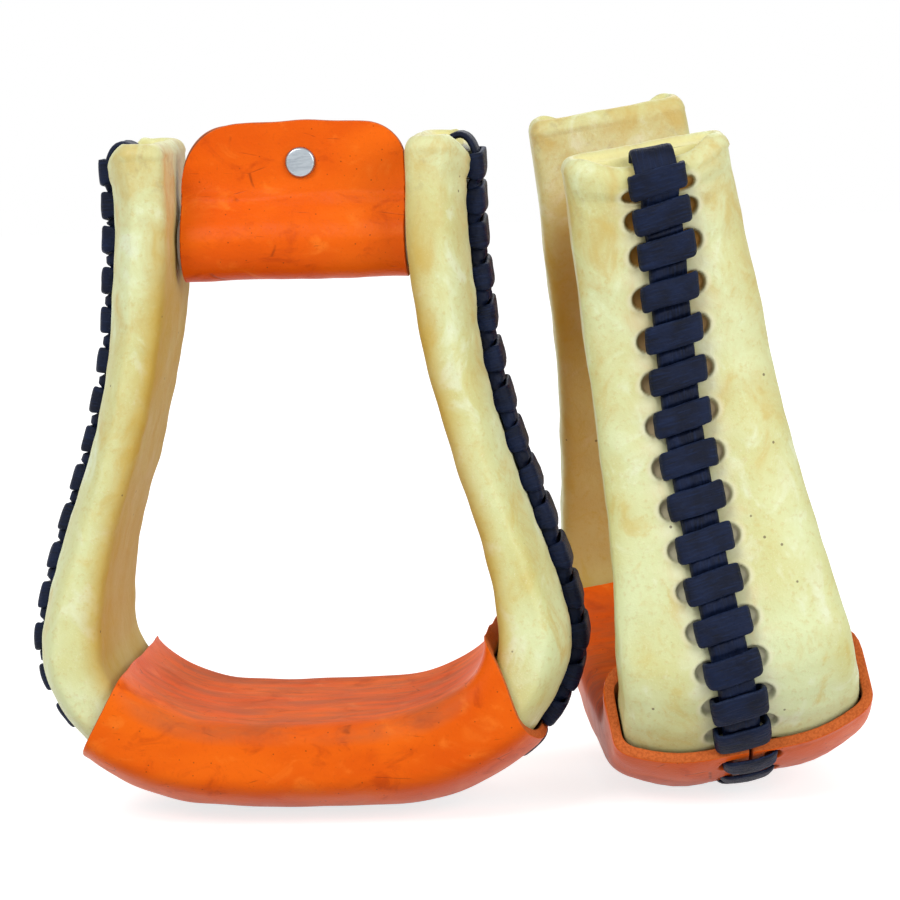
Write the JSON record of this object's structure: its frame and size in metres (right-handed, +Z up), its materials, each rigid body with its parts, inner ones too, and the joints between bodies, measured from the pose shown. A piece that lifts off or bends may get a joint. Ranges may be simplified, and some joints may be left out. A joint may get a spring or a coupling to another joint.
{
  "type": "western stirrup pair",
  "caption": "Pair of rawhide-covered bentwood stirrups with whip-laced rails, a laced leather tread sleeve and a riveted leather wrap on the neck roller.",
  "frame": {"origin": "bottom centre of the pair's bounding box, on the ground that both stirrups stand on", "axes": "+Z up, +X across the near stirrup's rails and along the pair, +Y back through the near stirrup's foot opening"},
  "size_m": [0.2724, 0.1826, 0.2256],
  "materials": {
    "rawhide": "satin",
    "saddle_leather": "satin",
    "lace_leather": "satin",
    "wood": "matte",
    "steel": "brushed",
    "nickel": "polished",
    "polymer": "matte"
  },
  "bodies": {
    "near_stirrup": {"near_bentwood_frame": "wood", "near_tread_block": "wood", "near_tread_screw_1": "steel", "near_tread_screw_2": "steel", "near_outside_rawhide": "rawhide", "near_inside_rawhide": "rawhide", "near_outside_seam_strip": "lace_leather", "near_inside_seam_strip": "lace_leather", "near_outside_lace": "lace_leather", "near_inside_lace": "lace_leather", "near_tread_sleeve": "saddle_leather", "near_sleeve_lace": "lace_leather", "near_neck_bolt": "steel", "near_bolt_washer": "steel", "near_bolt_nut": "steel"},
    "near_wrap": {"near_neck_roller": "polymer", "near_neck_wrap": "saddle_leather", "near_wrap_rivet": "nickel", "near_rivet_cap": "nickel"},
    "off_stirrup": {"off_bentwood_frame": "wood", "off_tread_block": "wood", "off_tread_screw_1": "steel", "off_tread_screw_2": "steel", "off_outside_rawhide": "rawhide", "off_inside_rawhide": "rawhide", "off_outside_seam_strip": "lace_leather", "off_inside_seam_strip": "lace_leather", "off_outside_lace": "lace_leather", "off_inside_lace": "lace_leather", "off_tread_sleeve": "saddle_leather", "off_sleeve_lace": "lace_leather", "off_neck_bolt": "steel", "off_bolt_washer": "steel", "off_bolt_nut": "steel"},
    "off_wrap": {"off_neck_roller": "polymer", "off_neck_wrap": "saddle_leather", "off_wrap_rivet": "nickel", "off_rivet_cap": "nickel"}
  },
  "joints": [
    {"name": "near_wrap_turn", "type": "hinge", "parent": "near_stirrup", "child": "near_wrap", "pos_m": [-0.04519, -0.04867, 0.1842], "axis": [1, 0, 0], "continuous": true},
    {"name": "off_lift_away", "type": "slide", "parent": "near_stirrup", "child": "off_stirrup", "axis": [0, 0, 1], "range_m": [0, 0.3]},
    {"name": "off_wrap_turn", "type": "hinge", "parent": "off_stirrup", "child": "off_wrap", "pos_m": [0.06425, -0.01543, 0.18428], "axis": [0.1686, -0.9804, -0.1017], "continuous": true}
  ]
}
